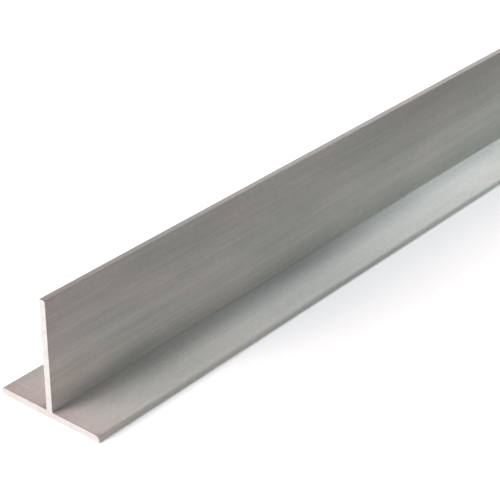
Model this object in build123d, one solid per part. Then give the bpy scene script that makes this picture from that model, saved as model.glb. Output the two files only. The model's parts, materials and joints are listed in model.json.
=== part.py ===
from build123d import *
import os

# A length of extruded aluminium tee stock, lying on its flange, in millimetres.
# X runs across the flange, Y along the stock and Z up the web.
# The origin is in the middle of the underside, halfway along the stock.

# Cross-section
FLANGE_WIDTH = 25.0
SECTION_HEIGHT = 25.0
FLANGE_THICKNESS = 1.5
WEB_THICKNESS = 1.5

# Radii that the die leaves on the outer edges and in the two inner corners
FLANGE_TOE_RADIUS = 0.4
WEB_TOE_RADIUS = 0.25
ROOT_RADIUS = 0.3

# Length that the stock is sold in, sawn square at both ends
STOCK_LENGTH = 1000.0


def tee_section():
    """Draw the cross-section, with the underside of the flange at height zero."""
    with BuildSketch(Plane.XZ) as section:
        # Flange and web share the middle line, and the web reaches down through the flange
        Rectangle(FLANGE_WIDTH, FLANGE_THICKNESS, align=(Align.CENTER, Align.MIN))
        Rectangle(WEB_THICKNESS, SECTION_HEIGHT, align=(Align.CENTER, Align.MIN))

        # Of the four corners at the flange's upper face, the inner two are the roots
        upper_face_corners = section.vertices().group_by(Axis.Y)[1].sort_by(Axis.X)
        fillet(upper_face_corners[1:3], ROOT_RADIUS)

        # The flange's toes are its outermost corners, and the web's toes its highest ones
        left_toe = section.vertices().group_by(Axis.X)[0]
        right_toe = section.vertices().group_by(Axis.X)[-1]
        fillet(left_toe + right_toe, FLANGE_TOE_RADIUS)
        fillet(section.vertices().group_by(Axis.Y)[-1], WEB_TOE_RADIUS)
    return section.sketch


def tee_profile():
    """Extrude the section both ways from the middle of the stock."""
    stock = extrude(tee_section(), amount=STOCK_LENGTH / 2, both=True)
    stock.label = "tee_profile"
    return stock


os.makedirs("parts", exist_ok=True)
export_step(tee_profile(), "parts/tee_profile.step")
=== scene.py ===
"""Looks of a length of aluminium tee stock: die-drawn mill faces and bright sawn ends.

The stock lies on its flange along Y, with X across the flange and Z up the web, in metres.
"""

import json
import logging
import math
from collections import Counter
from collections.abc import Iterable
from dataclasses import dataclass, field
from enum import Enum
from typing import Any

import bmesh
import bpy
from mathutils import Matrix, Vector
from mathutils.geometry import delaunay_2d_cdt


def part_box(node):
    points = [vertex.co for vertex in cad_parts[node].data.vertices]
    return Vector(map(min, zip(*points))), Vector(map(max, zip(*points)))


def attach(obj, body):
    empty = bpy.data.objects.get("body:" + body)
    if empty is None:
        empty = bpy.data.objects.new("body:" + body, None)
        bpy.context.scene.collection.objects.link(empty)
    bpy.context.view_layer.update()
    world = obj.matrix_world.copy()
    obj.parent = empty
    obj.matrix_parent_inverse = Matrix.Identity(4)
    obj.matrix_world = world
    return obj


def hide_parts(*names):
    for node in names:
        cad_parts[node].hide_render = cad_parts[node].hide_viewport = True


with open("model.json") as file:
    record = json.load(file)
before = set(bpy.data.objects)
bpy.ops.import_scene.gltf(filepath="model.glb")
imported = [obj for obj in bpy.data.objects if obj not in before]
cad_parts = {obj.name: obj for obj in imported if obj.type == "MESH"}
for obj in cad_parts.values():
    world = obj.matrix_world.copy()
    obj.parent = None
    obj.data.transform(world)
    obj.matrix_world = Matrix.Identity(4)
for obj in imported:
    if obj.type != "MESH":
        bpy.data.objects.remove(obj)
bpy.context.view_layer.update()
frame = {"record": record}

MM = 0.001
NODE = "tee_profile"
BODY = "root"
UV_NAME = "round_and_along"

Colour = tuple[float, float, float]
Span = tuple[float, float]
Shares = tuple[tuple[str, float], ...]

WHITE: Colour = (1.0, 1.0, 1.0)
KEY_COLOUR: Colour = (1.0, 0.79, 0.80)
BACK_COLOUR: Colour = (0.94, 0.955, 1.0)
LOW_BACK_COLOUR: Colour = (0.74, 1.0, 0.90)
NOISE_MEAN = 0.5

log = logging.getLogger("tee")


class Face(Enum):
    """Material index of each kind of surface on the stock."""

    MILL = 0
    SAWN = 1


class End(Enum):
    """The stock's two ends, each with the way that it faces along Y."""

    NEAR = -1
    FAR = 1


class Tone(Enum):
    """How light a small mark is beside the metal around it."""

    BRIGHT = 1.25
    PALE = 1.12
    DULL = 0.8


@dataclass(frozen=True)
class Pattern:
    """One kind of noise: the size of its spots along X, Y and Z, its finer layers, and its seed."""

    pitch: tuple[float, float, float]
    detail: float
    seed: float


class Graph:
    """Adds nodes to a node tree and joins them."""

    def __init__(self, tree: bpy.types.NodeTree) -> None:
        """Take over a node tree, which the nodes go into."""
        self.tree = tree

    def add(
        self, kind: str, inputs: dict[str | int, Any] | None = None, **settings: Any
    ) -> bpy.types.Node:
        """Add one node.

        Args:
            kind: Blender's name of the node type.
            inputs: Socket name or number to a value, or to the output socket that feeds it.
            **settings: The node's own properties.

        Returns:
            The new node.
        """
        node = self.tree.nodes.new(kind)
        for name, value in settings.items():
            setattr(node, name, value)
        for name, value in (inputs or {}).items():
            self.feed(node.inputs[name], value)
        return node

    def feed(self, socket: bpy.types.NodeSocket, value: Any) -> None:
        """Link a socket to another one, or set its value.

        Args:
            socket: The input socket.
            value: An output socket, or a plain value.
        """
        if isinstance(value, bpy.types.NodeSocket):
            self.tree.links.new(value, socket)
        else:
            socket.default_value = value

    def maths(self, operation: str, *values: Any) -> bpy.types.NodeSocket:
        """One number from others, by an operation of the Math node."""
        return self.add("ShaderNodeMath", dict(enumerate(values)), operation=operation).outputs[0]

    def ramp(
        self, value: Any, low: float, high: float, start: Any = 0.0, end: Any = 1.0
    ) -> bpy.types.NodeSocket:
        """Map the range from low to high smoothly onto that from start to end."""
        inputs = {0: value, 1: low, 2: high, 3: start, 4: end}
        return self.add("ShaderNodeMapRange", inputs, interpolation_type="SMOOTHSTEP").outputs[0]

    def weighted(
        self, parts: dict[str, bpy.types.NodeSocket], shares: Shares
    ) -> bpy.types.NodeSocket:
        """Add some of several numbers up, each times its share.

        Args:
            parts: Each number's name and socket.
            shares: The names of those that count, each with its share.

        Returns:
            The sum's socket.
        """
        total = None
        for name, share in shares:
            scaled = self.maths("MULTIPLY", parts[name], share)
            total = scaled if total is None else self.maths("ADD", total, scaled)
        return total

    def product(self, *sockets: Any) -> bpy.types.NodeSocket:
        """Multiply numbers.

        Args:
            *sockets: The numbers, as values or output sockets.

        Returns:
            The product's socket.
        """
        total = sockets[0]
        for socket in sockets[1:]:
            total = self.maths("MULTIPLY", total, socket)
        return total

    def mix(self, share: Any, first: Any, second: Any) -> bpy.types.NodeSocket:
        """Mix two colours.

        Args:
            share: How much of the second colour there is.
            first: The first colour, as a value or an output socket.
            second: The second colour, likewise.

        Returns:
            The mixed colour's socket.
        """
        inputs = {0: share}
        for number, colour in ((6, first), (7, second)):
            inputs[number] = colour if isinstance(colour, bpy.types.NodeSocket) else (*colour, 1)
        return self.add("ShaderNodeMix", inputs, data_type="RGBA").outputs[2]

    def scaled(self, colour: Any, factor: Any) -> bpy.types.NodeSocket:
        """A colour or vector times a number."""
        inputs = {0: colour, "Scale": factor}
        return self.add("ShaderNodeVectorMath", inputs, operation="SCALE").outputs[0]

    def distance(self, place: Any, centre: Any) -> bpy.types.NodeSocket:
        """How far a point is from another one."""
        inputs = {0: place, 1: centre}
        return self.add("ShaderNodeVectorMath", inputs, operation="DISTANCE").outputs["Value"]

    def bump(self, relief: bpy.types.NodeSocket, depth: float) -> bpy.types.NodeSocket:
        """The shading normal of a relief, where 1 is as high as the depth in metres."""
        inputs = {"Height": relief, "Distance": depth, "Strength": 1.0}
        return self.add("ShaderNodeBump", inputs).outputs[0]

    def place(self) -> bpy.types.NodeSocket:
        """The point being shaded, in the object's own coordinates."""
        return self.add("ShaderNodeTexCoord").outputs["Object"]

    def axes(self, place: bpy.types.NodeSocket) -> bpy.types.NodeOutputs:
        """The X, Y and Z of a point."""
        return self.add("ShaderNodeSeparateXYZ", {0: place}).outputs

    def noise(self, place: bpy.types.NodeSocket, pattern: Pattern) -> bpy.types.NodeSocket:
        """Noise of one kind.

        Args:
            place: The point.
            pattern: Which noise it is.

        Returns:
            The noise's socket, about 0.5 on average.
        """
        scale = tuple(1 / size for size in pattern.pitch)
        mapped = self.add("ShaderNodeVectorMath", {0: place, 1: scale}, operation="MULTIPLY").outputs[0]
        inputs = {"Vector": mapped, "W": pattern.seed, "Scale": 1.0, "Detail": pattern.detail}
        return self.add("ShaderNodeTexNoise", inputs, noise_dimensions="4D").outputs[0]


def new_material(name: str) -> tuple[bpy.types.Material, Graph, bpy.types.Node]:
    """Start a material.

    Args:
        name: Its name.

    Returns:
        The material, its graph and its shader.
    """
    material = bpy.data.materials.new(name)
    material.use_nodes = True
    return material, Graph(material.node_tree), material.node_tree.nodes["Principled BSDF"]


def direction(azimuth: float, elevation: float) -> Vector:
    """The way to a light or the camera: degrees round from -Y to +X, and degrees up."""
    a, e = math.radians(azimuth), math.radians(elevation)
    return Vector((math.sin(a) * math.cos(e), -math.cos(a) * math.cos(e), math.sin(e)))


@dataclass(frozen=True)
class Section:
    """The tee's cross-section, in metres, with the underside at height zero."""

    flange_width: float
    height: float
    flange_thickness: float
    web_thickness: float
    flange_toe_radius: float = 0.4 * MM
    web_toe_radius: float = 0.25 * MM
    root_radius: float = 0.3 * MM
    arc_steps: int = 5
    flat_pitch: float = 0.3 * MM

    @classmethod
    def from_frame(cls) -> "Section":
        """Read the section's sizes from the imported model's box and mounts.

        Returns:
            The section.
        """
        low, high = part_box(NODE)
        places = {mount["name"]: mount["pos_m"] for mount in frame["record"]["mounts"]}
        return cls(
            flange_width=high.x - low.x,
            height=high.z - low.z,
            flange_thickness=places["flange_top_right"][2],
            web_thickness=2 * places["web_right"][0],
        )

    def arc(self, centre: tuple[float, float], radius: float, first: float, last: float) -> list[Vector]:
        """Points along an arc, both ends included.

        Args:
            centre: Its centre, across and up.
            radius: Its radius.
            first: The angle that it starts at, in degrees from +X towards +Z.
            last: The angle that it ends at.

        Returns:
            The points, across and up.
        """
        span = last - first
        turns = [math.radians(first + span * i / self.arc_steps) for i in range(self.arc_steps + 1)]
        return [Vector((centre[0] + radius * math.cos(a), centre[1] + radius * math.sin(a))) for a in turns]

    def right_half(self) -> list[Vector]:
        """The outline's corners and arcs on the right, from the underside up to the web's toe.

        Returns:
            The points, across and up.
        """
        toe, top, root = self.flange_toe_radius, self.web_toe_radius, self.root_radius
        edge, wall = self.flange_width / 2, self.web_thickness / 2
        return [
            *self.arc((edge - toe, toe), toe, -90, 0),
            *self.arc((edge - toe, self.flange_thickness - toe), toe, 0, 90),
            *self.arc((wall + root, self.flange_thickness + root), root, 270, 180),
            *self.arc((wall - top, self.height - top), top, 0, 90),
        ]

    def outline(self) -> list[Vector]:
        """The whole outline, anticlockwise, with its flats divided at about the flat pitch.

        Returns:
            The points, across and up.
        """
        right = self.right_half()
        corners = right + [Vector((-point.x, point.y)) for point in reversed(right)]
        points: list[Vector] = []
        for start, end in zip(corners, corners[1:] + corners[:1]):
            steps = max(1, round((end - start).length / self.flat_pitch))
            points += [start.lerp(end, i / steps) for i in range(steps)]
        return points


@dataclass(frozen=True)
class Speck:
    """A small mark on the mill finish."""

    across: float
    along: float
    up: float
    radius: float
    tone: Tone


@dataclass(frozen=True)
class MillFinish:
    """Bare extruded aluminium: a dull metal drawn into fine lines along its length.

    Places along the stock are measured from its near end. Past the first stretch, painted light
    pales the flange and dulls the web's crest. A span is the range of a pattern over which
    something changes.
    """

    section: Section
    near_end: float
    name: str = "mill_finish"
    metallic: float = 0.45
    roughness: float = 0.5
    anisotropy: float = 0.8
    relief_depth: float = 0.003 * MM

    # Hues, and where along the stock they change, with painted warm light beside the near end and a painted
    # cool tint along the far flange
    warm: Colour = (0.490, 0.456, 0.425)
    cool: Colour = (0.456, 0.458, 0.420)
    # Painted warm light of the front lamps, beside the near end
    painted_key_warmth: Colour = (0.501, 0.452, 0.429)
    # Painted cool tint of the back lights on the far flange
    far_painted_light: Colour = (0.450, 0.4555, 0.441)
    cloud_span: Span = (0.28, 0.72)
    key_warmth_reach: float = 7 * MM
    far_from: float = 12 * MM
    far_tint_full: float = 60 * MM
    far_tint_toe_share: float = 0.35

    # Patterns in the metal, and the share of bands and lines that is left where they are calmer
    bands: Pattern = Pattern((2.6 * MM, 240 * MM, 2.6 * MM), 2, 1)
    lines: Pattern = Pattern((0.6 * MM, 20 * MM, 0.6 * MM), 2, 2)
    clouds: Pattern = Pattern((9 * MM, 26 * MM, 9 * MM), 3, 3)
    mottle: Pattern = Pattern((0.8 * MM, 1.5 * MM, 0.8 * MM), 3, 4)
    grain: Pattern = Pattern((0.16 * MM, 0.22 * MM, 0.16 * MM), 1, 5)
    flange_line_share: float = 0.45
    far_line_share: float = 0.7

    # How much each pattern and mark counts towards tone, marks, roughness and relief
    tone_shares: Shares = (
        ("bands", 0.28),
        ("lines", 0.24),
        ("clouds", 0.24),
        ("mottle", 0.18),
        ("grain", 0.06),
    )
    mark_shares: Shares = (("scribe", 0.16), ("scratches", 0.10), ("wear", 0.04))
    rough_shares: Shares = (
        ("clouds", 0.10),
        ("mottle", 0.10),
        ("wear", 0.12),
        ("scratches", -0.08),
    )
    relief_shares: Shares = (
        ("lines", 1.2),
        ("bands", 2.0),
        ("mottle", 0.8),
        ("grain", 0.4),
        ("scribe", -3.0),
        ("scratches", -1.5),
    )

    # How far the patterns lighten and darken the metal, and how light each part of the section is, with
    # painted light up the web: lighter at its foot, darker at its crest
    tone_span: Span = (0.36, 0.64)
    contrast: float = 0.145
    painted_foot_light: float = 1.17
    painted_crest_shade: float = 0.73
    flange_tone: float = 1.03

    # Where the near stretch gives way to painted light, and how light that is: a painted sheen on the
    # flange, painted shade on the web's crest
    far_light_from: float = 66 * MM
    far_full: float = 130 * MM
    far_inner_painted_sheen: float = 1.60
    far_outer_painted_sheen: float = 1.14
    far_crest_painted_shade: float = 0.73
    far_top_painted_shade: float = 0.95

    # Where on the section those change: shares of half the flange's width, of the height, and of
    # the web's toe radius below the top
    inner_and_outer: Span = (0.2, 0.9)
    crest_start: float = 1 / 3
    top_rim: Span = (0.8, 0.2)

    # Painted shade in the inner corners, spreading across the flange further along like the web's shadow,
    # and mostly gone where the far painted light takes over
    root_tone: float = 0.72
    root_reach_up: float = 0.5 * MM
    root_reach_near: float = 2.3 * MM
    root_reach_across: float = 7.0 * MM
    root_widened: float = 24 * MM
    root_core: float = 0.1
    far_root_share: float = 0.9

    # Wear on the outer edges: how many toe radii inside the edge it starts and is full, the
    # pattern's range that makes it uneven, and the least of it
    wear_reach: Span = (1.2, 0.6)
    wear_span: Span = (0.35, 0.65)
    least_wear: float = 0.3

    # Scratches, the scribed line and the specks
    scratch_turns: tuple[float, float, float] = (11, -16, 34)
    scratch_pitch: tuple[float, float, float] = (0.10 * MM, 9 * MM, 0.10 * MM)
    scratch_span: Span = (0.72, 0.78)
    scratch_seed: int = 11
    scribe_along: float = 3.0 * MM
    scribe_width: float = 0.12 * MM
    scribe_core: float = 0.3
    scribe_wander: Pattern = Pattern((5 * MM, 400 * MM, 400 * MM), 1, 5)
    scribe_breaks: Pattern = Pattern((2.2 * MM, 400 * MM, 400 * MM), 1, 6)
    break_span: Span = (0.38, 0.52)
    speck_core: float = 0.4
    specks: tuple[Speck, ...] = (
        Speck(-8.8 * MM, 3.1 * MM, 1.5 * MM, 0.28 * MM, Tone.BRIGHT),
        Speck(12.0 * MM, 6.9 * MM, 1.5 * MM, 0.30 * MM, Tone.BRIGHT),
        Speck(9.5 * MM, 6.7 * MM, 1.5 * MM, 0.25 * MM, Tone.PALE),
        Speck(0.75 * MM, 14.4 * MM, 16.2 * MM, 0.25 * MM, Tone.DULL),
    )

    def build(self) -> bpy.types.Material:
        """Make the material.

        Returns:
            The finish of the long faces.
        """
        material, graph, shader = new_material(self.name)
        shader.inputs["Metallic"].default_value = self.metallic
        shader.inputs["Anisotropic"].default_value = self.anisotropy
        tangent = graph.add("ShaderNodeTangent", direction_type="UV_MAP", uv_map=UV_NAME)
        graph.feed(shader.inputs["Tangent"], tangent.outputs[0])

        place = graph.place()
        parts = self.patterns(graph, place)
        parts["wear"] = self.edge_wear(graph, place, parts["mottle"])
        parts["scribe"] = self.scribe_line(graph, place)
        parts["scratches"] = self.scratches(graph, place)

        hue = self.hue(graph, place, parts["clouds"])
        graph.feed(shader.inputs["Base Color"], graph.scaled(hue, self.tone(graph, place, parts)))
        rough = graph.weighted(parts, self.rough_shares)
        graph.feed(shader.inputs["Roughness"], graph.maths("ADD", rough, self.roughness))
        relief = graph.weighted(parts, self.relief_shares)
        graph.feed(shader.inputs["Normal"], graph.bump(relief, self.relief_depth))
        return material

    def along(
        self,
        graph: Graph,
        place: bpy.types.NodeSocket,
        start: float,
        end: float,
        first: float = 0.0,
        last: float = 1.0,
    ) -> bpy.types.NodeSocket:
        """A number that goes from first to last over a stretch measured from the near end."""
        y = graph.axes(place)["Y"]
        return graph.ramp(y, self.near_end + start, self.near_end + end, first, last)

    def over_root(
        self, graph: Graph, place: bpy.types.NodeSocket, flange: Any, web: Any
    ) -> bpy.types.NodeSocket:
        """A number that changes over the root, from the flange to the web.

        Args:
            graph: The material's graph.
            place: The point.
            flange: The number on the flange, as a value or an output socket.
            web: The number on the web, likewise.

        Returns:
            The number's socket.
        """
        z = graph.axes(place)["Z"]
        thick = self.section.flange_thickness
        return graph.ramp(z, thick, thick + self.root_reach_up, flange, web)

    def over_flange(
        self, graph: Graph, place: bpy.types.NodeSocket, inner: float, outer: float
    ) -> bpy.types.NodeSocket:
        """A number that changes across the flange, from the web to either toe.

        Args:
            graph: The material's graph.
            place: The point.
            inner: The number beside the web.
            outer: The number at the toes.

        Returns:
            The number's socket.
        """
        off = graph.maths("ABSOLUTE", graph.axes(place)["X"])
        edge = self.section.flange_width / 2
        start, end = (share * edge for share in self.inner_and_outer)
        return graph.ramp(off, start, end, inner, outer)

    def patterns(
        self, graph: Graph, place: bpy.types.NodeSocket
    ) -> dict[str, bpy.types.NodeSocket]:
        """The patterns in the metal, with bands and lines calmer on the flange and further along.

        Args:
            graph: The material's graph.
            place: The point.

        Returns:
            Each pattern's name and socket.
        """
        flange = self.over_root(graph, place, self.flange_line_share, 1.0)
        far = self.along(graph, place, self.far_from, self.far_full, 1.0, self.far_line_share)
        strength = graph.product(flange, far)
        return {
            "bands": self.calmed(graph, graph.noise(place, self.bands), strength),
            "lines": self.calmed(graph, graph.noise(place, self.lines), strength),
            "clouds": graph.noise(place, self.clouds),
            "mottle": graph.noise(place, self.mottle),
            "grain": graph.noise(place, self.grain),
        }

    def calmed(
        self, graph: Graph, pattern: bpy.types.NodeSocket, strength: bpy.types.NodeSocket
    ) -> bpy.types.NodeSocket:
        """A pattern with only a share of its contrast left."""
        swing = graph.product(graph.maths("SUBTRACT", pattern, NOISE_MEAN), strength)
        return graph.maths("ADD", swing, NOISE_MEAN)

    def hue(
        self, graph: Graph, place: bpy.types.NodeSocket, clouds: bpy.types.NodeSocket
    ) -> bpy.types.NodeSocket:
        """The hue: warm and cool clouds, painted warm light by the near end, painted cool light far along.

        Args:
            graph: The material's graph.
            place: The point.
            clouds: The pattern that parts warm from cool.

        Returns:
            The hue's socket.
        """
        clouded = graph.mix(graph.ramp(clouds, *self.cloud_span), self.cool, self.warm)
        # Painted warm light of the front lamps, fading over the first few millimetres
        painted_key_warmth = self.along(graph, place, 0.0, self.key_warmth_reach, 1.0, 0.0)
        started = graph.mix(painted_key_warmth, clouded, self.painted_key_warmth)
        # Painted cool tint on the far flange, strongest beside the web
        past = self.along(graph, place, self.far_from, self.far_tint_full)
        inner = self.over_flange(graph, place, 1.0, self.far_tint_toe_share)
        flange = self.over_root(graph, place, 1.0, 0.0)
        return graph.mix(graph.product(past, inner, flange), started, self.far_painted_light)

    def tone(
        self, graph: Graph, place: bpy.types.NodeSocket, parts: dict[str, bpy.types.NodeSocket]
    ) -> bpy.types.NodeSocket:
        """How light the metal is, as a factor on its hue, with painted light and shade in it.

        Args:
            graph: The material's graph.
            place: The point.
            parts: Each pattern's and mark's name and socket.

        Returns:
            The factor's socket.
        """
        pattern = graph.weighted(parts, self.tone_shares)
        shade = graph.ramp(pattern, *self.tone_span, 1 - self.contrast, 1 + self.contrast)
        z = graph.axes(place)["Z"]
        thick, height = self.section.flange_thickness, self.section.height
        # Painted light up the web: a painted reflection lightens the foot, painted shade darkens the crest
        painted_fall = graph.ramp(z, thick, height, self.painted_foot_light, self.painted_crest_shade)
        level = self.over_root(graph, place, self.flange_tone / self.painted_foot_light, 1.0)
        # Painted light far along: a paler flange and a duller crest
        past = self.along(graph, place, self.far_light_from, self.far_full)
        far_painted_light = self.far_painted_tone(graph, place, past)
        # Painted shade in the inner corners
        root = self.root_painted_shade(graph, place, past)
        marks = graph.maths("ADD", graph.weighted(parts, self.mark_shares), 1.0)
        return graph.product(
            shade, painted_fall, level, far_painted_light, root, marks, *self.speck_tones(graph, place)
        )

    def far_painted_tone(
        self, graph: Graph, place: bpy.types.NodeSocket, past: bpy.types.NodeSocket
    ) -> bpy.types.NodeSocket:
        """Painted light far along: a painted sheen that pales the flange, painted shade that dulls the
        crest.

        Args:
            graph: The material's graph.
            place: The point.
            past: 1 where the point is past the near stretch, and 0 on it.

        Returns:
            The tone's socket, 1 on the near stretch.
        """
        z = graph.axes(place)["Z"]
        height, toe = self.section.height, self.section.web_toe_radius
        # Painted sheen: the flange paler far along, most beside the web
        painted_sheen = self.over_flange(graph, place, self.far_inner_painted_sheen, self.far_outer_painted_sheen)
        flange = self.over_root(graph, place, painted_sheen, 1.0)
        # Painted shade: the web's crest duller far along
        crest = graph.ramp(
            z, self.crest_start * height, height - toe, 1.0, self.far_crest_painted_shade
        )
        rim = (height - share * toe for share in self.top_rim)
        crest = graph.ramp(z, *rim, crest, self.far_top_painted_shade)
        there = graph.maths("SUBTRACT", graph.product(flange, crest), 1.0)
        return graph.maths("ADD", graph.product(past, there), 1.0)

    def root_painted_shade(
        self, graph: Graph, place: bpy.types.NodeSocket, past: bpy.types.NodeSocket
    ) -> bpy.types.NodeSocket:
        """Painted shade in the inner corners between web and flange, widening like the web's shadow.

        Args:
            graph: The material's graph.
            place: The point.
            past: 1 where the point is past the near stretch, and 0 on it.

        Returns:
            The tone's socket, 1 away from the corners and all over the underside.
        """
        x, _, z = graph.axes(place)
        reach = self.along(
            graph, place, 0.0, self.root_widened, self.root_reach_near, self.root_reach_across
        )
        off = graph.maths("ABSOLUTE", x)
        across = graph.maths("SUBTRACT", off, self.section.web_thickness / 2)
        up = graph.maths("SUBTRACT", z, self.section.flange_thickness)
        shares = (
            graph.maths("DIVIDE", across, reach),
            graph.maths("DIVIDE", up, self.root_reach_up),
        )
        below = graph.maths("LESS_THAN", z, self.section.flange_thickness / 2)
        away = graph.maths("ADD", graph.maths("MAXIMUM", *shares), below)
        # Painted shade in the inner corners, spreading across the flange further along like the web's
        # shadow
        painted_corner_shade = graph.ramp(away, self.root_core, 1.0, self.root_tone - 1.0, 0.0)
        left = graph.maths("SUBTRACT", 1.0, graph.product(past, self.far_root_share))
        return graph.maths("ADD", graph.product(painted_corner_shade, left), 1.0)

    def edge_wear(
        self, graph: Graph, place: bpy.types.NodeSocket, uneven: bpy.types.NodeSocket
    ) -> bpy.types.NodeSocket:
        """Where the outer edges of flange and web are rubbed brighter.

        Args:
            graph: The material's graph.
            place: The point.
            uneven: The pattern that breaks the wear up.

        Returns:
            A mask's socket, 1 where the wear is strongest.
        """
        x, _, z = graph.axes(place)
        off = graph.maths("ABSOLUTE", x)
        top = self.section.web_toe_radius
        toes = self.nearing(
            graph, off, self.section.flange_width / 2, self.section.flange_toe_radius
        )
        crest = self.nearing(graph, z, self.section.height, top)
        side = self.nearing(graph, off, self.section.web_thickness / 2, top)
        worn = graph.maths("MAXIMUM", toes, graph.product(crest, side))
        patchy = graph.ramp(uneven, *self.wear_span, self.least_wear, 1.0)
        return graph.product(worn, patchy)

    def nearing(
        self, graph: Graph, distance: bpy.types.NodeSocket, edge: float, radius: float
    ) -> bpy.types.NodeSocket:
        """A mask that rises to 1 at a rounded edge, from just inside it."""
        start, end = (edge - share * radius for share in self.wear_reach)
        return graph.ramp(distance, start, end)

    def scratches(self, graph: Graph, place: bpy.types.NodeSocket) -> bpy.types.NodeSocket:
        """Fine scratches from handling, scattered at a few angles to the length.

        Args:
            graph: The material's graph.
            place: The point.

        Returns:
            A mask's socket, 1 in a scratch.
        """
        masks = []
        for seed, turn in enumerate(self.scratch_turns, start=self.scratch_seed):
            inputs = {"Vector": place, "Rotation": (math.radians(turn), 0.0, math.radians(turn))}
            turned = graph.add("ShaderNodeVectorRotate", inputs, rotation_type="EULER_XYZ")
            thread = graph.noise(turned.outputs[0], Pattern(self.scratch_pitch, 0, seed))
            masks.append(graph.ramp(thread, *self.scratch_span))
        return graph.maths("MAXIMUM", graph.maths("MAXIMUM", *masks[:2]), masks[2])

    def scribe_line(self, graph: Graph, place: bpy.types.NodeSocket) -> bpy.types.NodeSocket:
        """The broken light line scribed across the left of the flange, beside the near end.

        Args:
            graph: The material's graph.
            place: The point.

        Returns:
            A mask's socket, 1 on the line.
        """
        x, y, z = graph.axes(place)
        width = self.scribe_width
        sway = graph.maths("MULTIPLY", graph.noise(place, self.scribe_wander), 2 * width)
        middle = graph.maths("ADD", sway, self.near_end + self.scribe_along - width)
        off = graph.maths("ABSOLUTE", graph.maths("SUBTRACT", y, middle))
        across = graph.ramp(off, self.scribe_core * width, width, 1.0, 0.0)
        broken = graph.ramp(graph.noise(place, self.scribe_breaks), *self.break_span)
        left = graph.maths("LESS_THAN", x, -self.section.web_thickness / 2)
        upper = graph.maths("GREATER_THAN", z, self.section.flange_thickness / 2)
        return graph.product(across, broken, left, upper)

    def speck_tones(
        self, graph: Graph, place: bpy.types.NodeSocket
    ) -> list[bpy.types.NodeSocket]:
        """How each speck changes the colour.

        Args:
            graph: The material's graph.
            place: The point.

        Returns:
            One factor's socket for each speck, 1 away from it.
        """
        tones = []
        for speck in self.specks:
            centre = (speck.across, self.near_end + speck.along, speck.up)
            core = self.speck_core * speck.radius
            away = graph.distance(place, centre)
            tones.append(graph.ramp(away, core, speck.radius, speck.tone.value, 1.0))
        return tones


@dataclass(frozen=True)
class Blade:
    """The saw blade that cut an end: where its hub stood, seen along the stock."""

    hub_across: float = -118 * MM
    hub_up: float = 64 * MM
    tooth_pitch: float = 1.2 * MM
    scratches: Pattern = Pattern((0.16 * MM, 1.0, 1.0), 3, 1)


@dataclass(frozen=True)
class SawnFinish:
    """Freshly sawn aluminium: bright metal with the saw's fine arcs and faint cream stains."""

    blade: Blade
    name: str = "sawn_finish"
    colour: Colour = (0.690, 0.735, 0.705)
    cream: Colour = (0.665, 0.69, 0.635)
    metallic: float = 0.7
    roughness: float = 0.42
    roughness_rise: float = 0.14
    relief_depth: float = 0.006 * MM
    tones: Span = (0.93, 1.04)
    scratch_span: Span = (0.3, 0.7)
    grain: Pattern = Pattern((0.4 * MM, 0.4 * MM, 0.4 * MM), 2, 2)
    stain: Pattern = Pattern((2.4 * MM, 2.4 * MM, 0.9 * MM), 2, 3)
    stain_span: Span = (0.45, 0.65)
    tone_shares: Shares = (("scratches", 0.6), ("grain", 0.4))
    relief_shares: Shares = (("scratches", 1.0), ("grain", 0.6))

    def build(self) -> bpy.types.Material:
        """Make the material.

        Returns:
            The finish of both sawn ends.
        """
        material, graph, shader = new_material(self.name)
        shader.inputs["Metallic"].default_value = self.metallic
        place = graph.place()
        parts = {"scratches": self.arcs(graph, place), "grain": graph.noise(place, self.grain)}
        tone = graph.weighted(parts, self.tone_shares)
        shade = graph.ramp(tone, *self.scratch_span, *self.tones)
        stained = graph.ramp(graph.noise(place, self.stain), *self.stain_span)
        hue = graph.mix(stained, self.colour, self.cream)
        graph.feed(shader.inputs["Base Color"], graph.scaled(hue, shade))
        roughest = self.roughness + self.roughness_rise
        rough = graph.ramp(parts["scratches"], *self.scratch_span, self.roughness, roughest)
        graph.feed(shader.inputs["Roughness"], rough)
        relief = graph.weighted(parts, self.relief_shares)
        graph.feed(shader.inputs["Normal"], graph.bump(relief, self.relief_depth))
        return material

    def arcs(self, graph: Graph, place: bpy.types.NodeSocket) -> bpy.types.NodeSocket:
        """The saw's fine arcs round its hub.

        Args:
            graph: The material's graph.
            place: The point.

        Returns:
            The arcs' socket.
        """
        x, _, z = graph.axes(place)
        flat = graph.add("ShaderNodeCombineXYZ", {"X": x, "Z": z}).outputs[0]
        reach = graph.distance(flat, (self.blade.hub_across, 0.0, self.blade.hub_up))
        spot = graph.add("ShaderNodeCombineXYZ", {"X": reach}).outputs[0]
        return graph.noise(spot, self.blade.scratches)


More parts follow.
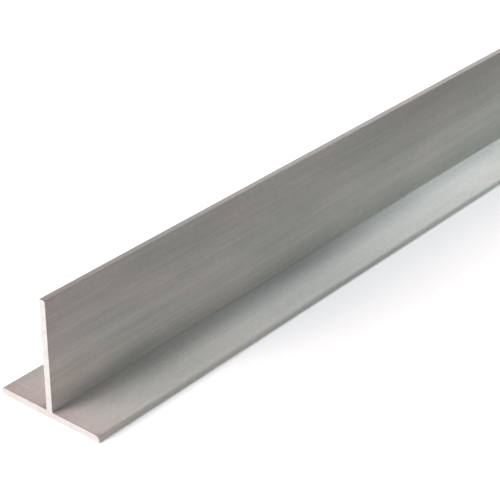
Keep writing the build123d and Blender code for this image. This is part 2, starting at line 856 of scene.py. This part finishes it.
@dataclass
class ExtrudedWalls:
    """The long faces: the section drawn along the stock, with the die's waves in their surface."""

    section: Section
    start: float
    end: float
    stations: int = 141
    wave_depth: float = 0.012 * MM
    wave_pitch: float = 4.0 * MM
    wave_length: float = 220 * MM
    wave_span: Span = (0.25, 0.75)
    arris: float = 0.12 * MM
    arris_depth: float = 0.06 * MM
    wear_pitch: tuple[float, float, float] = (0.9 * MM, 1.0, 0.9 * MM)
    wear_span: Span = (0.35, 0.65)
    least_wear: float = 0.3
    seed: int = 7

    def inputs(self) -> dict[str, float]:
        """The tree's named sizes and their values."""
        return {
            "Start": self.start,
            "End": self.end,
            "Wave Depth": self.wave_depth,
            "Wave Pitch": self.wave_pitch,
            "Wave Length": self.wave_length,
            "Arris": self.arris,
            "Arris Depth": self.arris_depth,
        }

    def tree(self, finish: bpy.types.Material) -> bpy.types.NodeTree:
        """Build the node tree that draws the section out.

        Args:
            finish: The material of the long faces.

        Returns:
            The tree, with one named input for each size.
        """
        tree = bpy.data.node_groups.new("extruded_walls", "GeometryNodeTree")
        tree.interface.new_socket(name="Geometry", in_out="INPUT", socket_type="NodeSocketGeometry")
        tree.interface.new_socket(name="Geometry", in_out="OUTPUT", socket_type="NodeSocketGeometry")
        for name in self.inputs():
            tree.interface.new_socket(name=name, in_out="INPUT", socket_type="NodeSocketFloat")
        tree.interface.new_socket(name="Stations", in_out="INPUT", socket_type="NodeSocketInt")
        graph = Graph(tree)
        given = graph.add("NodeGroupInput").outputs
        profile = graph.add("GeometryNodeMeshToCurve", {"Mesh": given["Geometry"]})
        path = self.path(graph, given)
        walls = graph.add("GeometryNodeCurveToMesh", {"Curve": path, "Profile Curve": profile.outputs[0]})
        depth = graph.maths("ADD", self.waves(graph, given), self.end_wear(graph, given))
        normal = graph.add("GeometryNodeInputNormal").outputs[0]
        inwards = graph.scaled(normal, depth)
        inputs = {"Geometry": walls.outputs[0], "Offset": inwards}
        shaped = graph.add("GeometryNodeSetPosition", inputs)
        real = graph.add("GeometryNodeRealizeInstances", {"Geometry": shaped.outputs[0]})
        dressed = graph.add("GeometryNodeSetMaterial", {"Geometry": real.outputs[0], "Material": finish})
        graph.add("NodeGroupOutput", {"Geometry": dressed.outputs[0]})
        return tree

    def path(self, graph: Graph, given: bpy.types.NodeOutputs) -> bpy.types.NodeSocket:
        """The line along the stock, with its stations closer together towards both ends.

        Args:
            graph: The tree's graph.
            given: The tree's inputs.

        Returns:
            The line's socket.
        """
        line = graph.add("GeometryNodeCurvePrimitiveLine").outputs[0]
        inputs = {"Curve": line, "Count": given["Stations"]}
        line = graph.add("GeometryNodeResampleCurve", inputs).outputs[0]
        share = graph.add("GeometryNodeSplineParameter").outputs["Factor"]
        swing = graph.maths("COSINE", graph.maths("MULTIPLY", share, math.pi))
        middle = graph.maths("MULTIPLY", graph.maths("ADD", given["Start"], given["End"]), 0.5)
        half = graph.maths("MULTIPLY", graph.maths("SUBTRACT", given["End"], given["Start"]), 0.5)
        along = graph.maths("SUBTRACT", middle, graph.maths("MULTIPLY", half, swing))
        spot = graph.add("ShaderNodeCombineXYZ", {"Y": along}).outputs[0]
        return graph.add("GeometryNodeSetPosition", {"Geometry": line, "Position": spot}).outputs[0]

    def waves(self, graph: Graph, given: bpy.types.NodeOutputs) -> bpy.types.NodeSocket:
        """Depth of the long shallow waves that the die leaves.

        Args:
            graph: The tree's graph.
            given: The tree's inputs.

        Returns:
            The depth's socket, in metres.
        """
        place = graph.axes(graph.add("GeometryNodeInputPosition").outputs[0])
        x = graph.maths("DIVIDE", place["X"], given["Wave Pitch"])
        y = graph.maths("DIVIDE", place["Y"], given["Wave Length"])
        z = graph.maths("DIVIDE", place["Z"], given["Wave Pitch"])
        spot = graph.add("ShaderNodeCombineXYZ", {"X": x, "Y": y, "Z": z}).outputs[0]
        inputs = {"Vector": spot, "W": float(self.seed), "Scale": 1.0, "Detail": 0.0}
        noise = graph.add("ShaderNodeTexNoise", inputs, noise_dimensions="4D").outputs[0]
        return graph.product(graph.ramp(noise, *self.wave_span), given["Wave Depth"])

    def end_wear(self, graph: Graph, given: bpy.types.NodeOutputs) -> bpy.types.NodeSocket:
        """Depth by which the arris round each sawn end is worn away, unevenly.

        Args:
            graph: The tree's graph.
            given: The tree's inputs.

        Returns:
            The depth's socket, in metres.
        """
        place = graph.add("GeometryNodeInputPosition").outputs[0]
        y = graph.axes(place)["Y"]
        ends = graph.maths("SUBTRACT", y, given["Start"]), graph.maths("SUBTRACT", given["End"], y)
        share = graph.maths("DIVIDE", graph.maths("MINIMUM", *ends), given["Arris"])
        noise = graph.noise(place, Pattern(self.wear_pitch, 2, self.seed + 1))
        uneven = graph.ramp(noise, *self.wear_span, self.least_wear, 1.0)
        return graph.product(graph.ramp(share, 0.0, 1.0, 1.0, 0.0), uneven, given["Arris Depth"])

    def build(self, finish: bpy.types.Material) -> bpy.types.Mesh:
        """Draw the section out and return the plain mesh, open at both ends.

        Args:
            finish: The material of the long faces.

        Returns:
            The walls' mesh. Its first ring of points is at the start.
        """
        points = [(point.x, -point.y, 0.0) for point in self.section.outline()]
        loop = bpy.data.meshes.new("outline")
        loop.from_pydata(points, [(i, (i + 1) % len(points)) for i in range(len(points))], [])
        holder = bpy.data.objects.new("outline", loop)
        bpy.context.scene.collection.objects.link(holder)
        tree = self.tree(finish)
        modifier = holder.modifiers.new("walls", "NODES")
        modifier.node_group = tree
        sizes = self.inputs() | {"Stations": self.stations}
        for item in tree.interface.items_tree:
            if item.in_out == "INPUT" and item.name in sizes:
                modifier[item.identifier] = sizes[item.name]
        depsgraph = bpy.context.evaluated_depsgraph_get()
        mesh = bpy.data.meshes.new_from_object(holder.evaluated_get(depsgraph), depsgraph=depsgraph)
        bpy.data.objects.remove(holder)
        return mesh


@dataclass(frozen=True)
class Knock:
    """A place where the metal is knocked in."""

    centre: Vector
    radius: float
    push: Vector

    def move(self, point: Vector) -> Vector:
        """Where a point of the surface ends up."""
        share = (point - self.centre).length / self.radius
        return point + self.push * (1 - share**2) ** 2 if share < 1 else point


@dataclass
class SawnFace:
    """One sawn end: the section filled in, with the saw's shallow arcs across it."""

    side: End
    blade: Blade
    mark_depth: float = 0.012 * MM
    grid: float = 0.22 * MM
    rim: float = 0.12 * MM
    merge_reach: float = 1e-9

    def inner_points(self, ring: list[Vector]) -> list[Vector]:
        """Points of a grid that lie inside the outline.

        Args:
            ring: The outline, across and up.

        Returns:
            The points, clear of the outline by the rim.
        """
        low = Vector((min(p.x for p in ring), min(p.y for p in ring)))
        high = Vector((max(p.x for p in ring), max(p.y for p in ring)))
        columns, rows = (int((high[i] - low[i]) / self.grid) + 1 for i in (0, 1))
        spots = [
            Vector((low.x + (i + 0.5) * self.grid, low.y + (j + 0.5) * self.grid))
            for i in range(columns)
            for j in range(rows)
        ]
        return [spot for spot in spots if self.inside(spot, ring)]

    def inside(self, spot: Vector, ring: list[Vector]) -> bool:
        """Whether a point lies in the outline and clear of its edge.

        Args:
            spot: The point, across and up.
            ring: The outline.

        Returns:
            True if it does.
        """
        crossings = 0
        for start, end in zip(ring, ring[1:] + ring[:1]):
            if (spot - start).length < self.rim:
                return False
            if (start.y > spot.y) != (end.y > spot.y):
                reach = start.x + (spot.y - start.y) / (end.y - start.y) * (end.x - start.x)
                crossings += spot.x < reach
        return crossings % 2 == 1

    def build(self, ring: list[Vector]) -> tuple[list[Vector], list[list[int]]]:
        """Fill the outline and lay the saw's marks in the face.

        Args:
            ring: The points in space that the walls end on.

        Returns:
            The face's points in space, and its triangles as lists of their numbers.
        """
        outline = [Vector((point.x, point.z)) for point in ring]
        plane = max(self.side.value * point.y for point in ring)
        points = outline + self.inner_points(outline)
        edges = [(i, (i + 1) % len(outline)) for i in range(len(outline))]
        spots, _, faces, *_ = delaunay_2d_cdt(points, edges, [], 1, self.merge_reach)
        inner = [Vector((p.x, self.side.value * (plane - self.mark(p)), p.y)) for p in spots[len(ring):]]
        return ring + inner, faces

    def mark(self, spot: Vector) -> float:
        """Depth of the saw's marks at a point across and up, in metres."""
        reach = (spot - Vector((self.blade.hub_across, self.blade.hub_up))).length
        return self.mark_depth * (0.5 + 0.5 * math.sin(2 * math.pi * reach / self.blade.tooth_pitch))


@dataclass
class TeeBar:
    """The whole length of stock, as one closed mesh."""

    section: Section
    low: Vector
    high: Vector
    blade: Blade = field(default_factory=Blade)
    nick_up: float = 20.8 * MM
    dent_across: float = 3.7 * MM
    merge_reach: float = 1e-7
    sharp_angle: float = 35.0

    def knocks(self) -> list[Knock]:
        """The knocks in the near end: at the right toe, in the web's left edge and beside its foot.

        Returns:
            The knocks.
        """
        near = self.low.y
        left, right = -self.section.web_thickness / 2, self.section.flange_width / 2
        top = self.section.flange_thickness
        return [
            Knock(
                centre=Vector((right, near, top)),
                radius=1.1 * MM,
                push=Vector((-0.06, 0.22, -0.26)) * MM,
            ),
            Knock(
                centre=Vector((left, near, self.nick_up)),
                radius=0.35 * MM,
                push=Vector((0.12, 0.12, 0.0)) * MM,
            ),
            Knock(
                centre=Vector((self.dent_across, near, top)),
                radius=0.5 * MM,
                push=Vector((0.0, 0.10, -0.10)) * MM,
            ),
        ]

    def lay_out(self, shape: bmesh.types.BMesh, count: int) -> None:
        """Lay the walls out flat in the UV map, with U round the section and V along the stock.

        Args:
            shape: The walls.
            count: How many points one ring has.
        """
        layer = shape.loops.layers.uv.new(UV_NAME)
        ring = [vert.co for vert in shape.verts[:count]]
        reach = [0.0]
        for start, end in zip(ring, ring[1:] + ring[:1]):
            reach.append(reach[-1] + (end - start).length)
        for face in shape.faces:
            face.material_index = Face.MILL.value
            numbers = [loop.vert.index % count for loop in face.loops]
            wraps = max(numbers) - min(numbers) > 1
            for loop, number in zip(face.loops, numbers):
                loop[layer].uv = (reach[count if wraps and number == 0 else number], loop.vert.co.y)

    def close(self, shape: bmesh.types.BMesh, count: int) -> None:
        """Fill both ends with their sawn faces and join everything.

        Args:
            shape: The walls, whose first and last rings are the ends.
            count: How many points one ring has.
        """
        rings = {End.NEAR: shape.verts[:count], End.FAR: shape.verts[-count:]}
        places = {side: [vert.co.copy() for vert in ring] for side, ring in rings.items()}
        for side, ring in places.items():
            points, faces = SawnFace(side, self.blade).build(ring)
            added = [shape.verts.new(point) for point in points]
            for face in faces:
                shape.faces.new([added[i] for i in face]).material_index = Face.SAWN.value
        bmesh.ops.remove_doubles(shape, verts=shape.verts, dist=self.merge_reach)
        bmesh.ops.recalc_face_normals(shape, faces=shape.faces)

    def build(self) -> bpy.types.Object:
        """Make the walls and both ends, and join them.

        Returns:
            The bar, riding on the part's body in place of its solid.
        """
        finishes = [MillFinish(self.section, self.low.y).build(), SawnFinish(self.blade).build()]
        walls = ExtrudedWalls(self.section, self.low.y, self.high.y).build(finishes[Face.MILL.value])
        count = len(self.section.outline())
        shape = bmesh.new()
        shape.from_mesh(walls)
        shape.verts.ensure_lookup_table()
        knocks = self.knocks()
        for vert in shape.verts:
            for knock in knocks:
                vert.co = knock.move(vert.co)
        self.lay_out(shape, count)
        self.close(shape, count)
        mesh = bpy.data.meshes.new("tee_bar")
        shape.to_mesh(mesh)
        shape.free()
        for finish in finishes:
            mesh.materials.append(finish)
        mesh.shade_smooth()
        mesh.set_sharp_from_angle(angle=math.radians(self.sharp_angle))
        bar = bpy.data.objects.new("tee_bar", mesh)
        bpy.context.scene.collection.objects.link(bar)
        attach(bar, BODY)
        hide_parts(NODE)
        return bar


@dataclass(frozen=True)
class SoftLight:
    """A soft light from far away, which lights the whole length evenly.

    A light without glare isn't mirrored in the metal.
    """

    name: str
    azimuth: float
    elevation: float
    spread: float
    level: float
    colour: Colour = WHITE
    glare: bool = True

    def build(self) -> bpy.types.Object:
        """Hang the light.

        Returns:
            The lamp.
        """
        away = direction(self.azimuth, self.elevation)
        data = bpy.data.lights.new(self.name, "SUN")
        data.angle = math.radians(self.spread)
        data.energy = self.level
        data.color = self.colour
        lamp = bpy.data.objects.new(self.name, data)
        lamp.location = away
        lamp.rotation_euler = away.to_track_quat("Z", "Y").to_euler()
        lamp.visible_glossy = self.glare
        bpy.context.scene.collection.objects.link(lamp)
        return lamp


@dataclass
class Studio:
    """The floor, the surroundings and the lights."""

    floor_side: float = 30.0
    floor_colour: float = 0.9
    floor_lift: float = 0.25
    wall_colour: float = 0.0
    wall_lift: float = 1.0
    surround: float = 0.05
    wall_radius: float = 14.0
    wall_height: float = 4.0
    wall_sides: int = 64
    lights: tuple[SoftLight, ...] = (
        SoftLight("front_light", 340, 20, 14, 3.0, KEY_COLOUR, glare=False),
        SoftLight("front_left_light", 325, 20, 14, 2.6, KEY_COLOUR, glare=False),
        SoftLight("high_left_light", 325, 65, 14, 0.70, BACK_COLOUR),
        SoftLight("back_light", 180, 40, 24, 1.40, BACK_COLOUR),
        SoftLight("low_back_light", 165, 12, 24, 0.78, LOW_BACK_COLOUR),
        SoftLight("right_light", 95, 20, 28, 0.14, BACK_COLOUR),
    )

    def stage(
        self, name: str, mesh: bpy.types.Mesh, colour: float, lift: float
    ) -> bpy.types.Object:
        """Stand a piece of the studio in the scene.

        Args:
            name: The piece's name.
            mesh: Its shape.
            colour: How pale its board is.
            lift: Light that its board adds where the camera or a reflection sees it.

        Returns:
            The piece.
        """
        mesh.materials.append(self.board(name, colour, lift))
        piece = bpy.data.objects.new(name, mesh)
        bpy.context.scene.collection.objects.link(piece)
        return piece

    def floor(self) -> bpy.types.Object:
        """Lay the pale floor that the stock lies on.

        Returns:
            The floor.
        """
        half = self.floor_side / 2
        mesh = bpy.data.meshes.new("floor")
        corners = [(-half, -half, 0), (half, -half, 0), (half, half, 0), (-half, half, 0)]
        mesh.from_pydata(corners, [], [(0, 1, 2, 3)])
        return self.stage("floor", mesh, self.floor_colour, self.floor_lift)

    def backdrop(self) -> bpy.types.Object:
        """Stand a round wall far off, which looks white and throws no shadow or light.

        Returns:
            The wall.
        """
        turns = [2 * math.pi * i / self.wall_sides for i in range(self.wall_sides)]
        rims = [
            (self.wall_radius * math.cos(turn), self.wall_radius * math.sin(turn), height)
            for height in (0.0, self.wall_height)
            for turn in turns
        ]
        count = self.wall_sides
        panels = [(i + count, (i + 1) % count + count, (i + 1) % count, i) for i in range(count)]
        mesh = bpy.data.meshes.new("backdrop")
        mesh.from_pydata(rims, [], panels)
        wall = self.stage("backdrop", mesh, self.wall_colour, self.wall_lift)
        wall.visible_shadow = False
        wall.visible_diffuse = False
        return wall

    def board(self, name: str, colour: float, lift: float) -> bpy.types.Material:
        """Matt board, lifted where the camera or a reflection sees it, so that it shows white.

        Args:
            name: The material's name.
            colour: How pale the board is, from black at 0 to white at 1.
            lift: The light that it adds there.

        Returns:
            The material.
        """
        material, graph, shader = new_material(name)
        shader.inputs["Base Color"].default_value = (colour, colour, colour, 1)
        shader.inputs["Roughness"].default_value = 1.0
        shader.inputs["Specular IOR Level"].default_value = 0.0
        shader.inputs["Emission Color"].default_value = (*WHITE, 1)
        rays = graph.add("ShaderNodeLightPath").outputs
        seen = graph.maths("MAXIMUM", rays["Is Camera Ray"], rays["Is Glossy Ray"])
        seen = graph.maths("MAXIMUM", seen, rays["Is Transmission Ray"])
        graph.feed(shader.inputs["Emission Strength"], graph.maths("MULTIPLY", seen, lift))
        return material

    def world(self) -> None:
        """Plain even light from all round."""
        world = bpy.data.worlds.new("studio")
        world.use_nodes = True
        background = world.node_tree.nodes["Background"]
        background.inputs["Color"].default_value = (*WHITE, 1)
        background.inputs["Strength"].default_value = self.surround
        bpy.context.scene.world = world

    def build(self) -> list[bpy.types.Object]:
        """Set the whole studio up.

        Returns:
            The floor, the backdrop and the lights.
        """
        pieces = [self.floor(), self.backdrop()]
        self.world()
        return pieces + [light.build() for light in self.lights]


@dataclass(frozen=True)
class PhotoCamera:
    """The camera at the photograph's angle, looking at the web near the stock's near end."""

    azimuth: float = 39.53
    elevation: float = 28.90
    distance: float = 336.8 * MM
    lens: float = 120.0
    film_width: float = 36.0
    nearest: float = 10 * MM
    aim_along: float = 57.2 * MM
    aim_up: float = 10.6 * MM

    def build(self, near_end: float) -> bpy.types.Object:
        """Place the camera.

        Args:
            near_end: Where the near end lies along the stock.

        Returns:
            The camera.
        """
        back = direction(self.azimuth, self.elevation)
        data = bpy.data.cameras.new("camera")
        data.lens = self.lens
        data.sensor_width = self.film_width
        data.clip_start = self.nearest
        camera = bpy.data.objects.new("camera", data)
        aim = Vector((0.0, near_end + self.aim_along, self.aim_up))
        camera.location = aim + back * self.distance
        camera.rotation_euler = (-back).to_track_quat("-Z", "Y").to_euler()
        bpy.context.scene.collection.objects.link(camera)
        bpy.context.scene.camera = camera
        return camera


def open_edges(mesh: bpy.types.Mesh) -> int:
    """How many edges don't have two faces, which is 0 for a closed mesh."""
    counts = Counter(key for face in mesh.polygons for key in face.edge_keys)
    return sum(count != 2 for count in counts.values())


def main() -> None:
    """Build the stock, the studio and the camera, and report each piece."""
    logging.basicConfig(level=logging.INFO, format="%(name)s: %(message)s")
    low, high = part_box(NODE)
    bpy.context.scene.view_settings.view_transform = "Standard"
    bar = TeeBar(Section.from_frame(), low, high).build()
    log.info("%s: %d faces, %d open edges", bar.name, len(bar.data.polygons), open_edges(bar.data))
    for piece in Studio().build():
        log.info("%s: in place", piece.name)
    camera = PhotoCamera().build(low.y)
    log.info("%s: %g mm lens", camera.name, camera.data.lens)


if __name__ == "__main__":
    main()
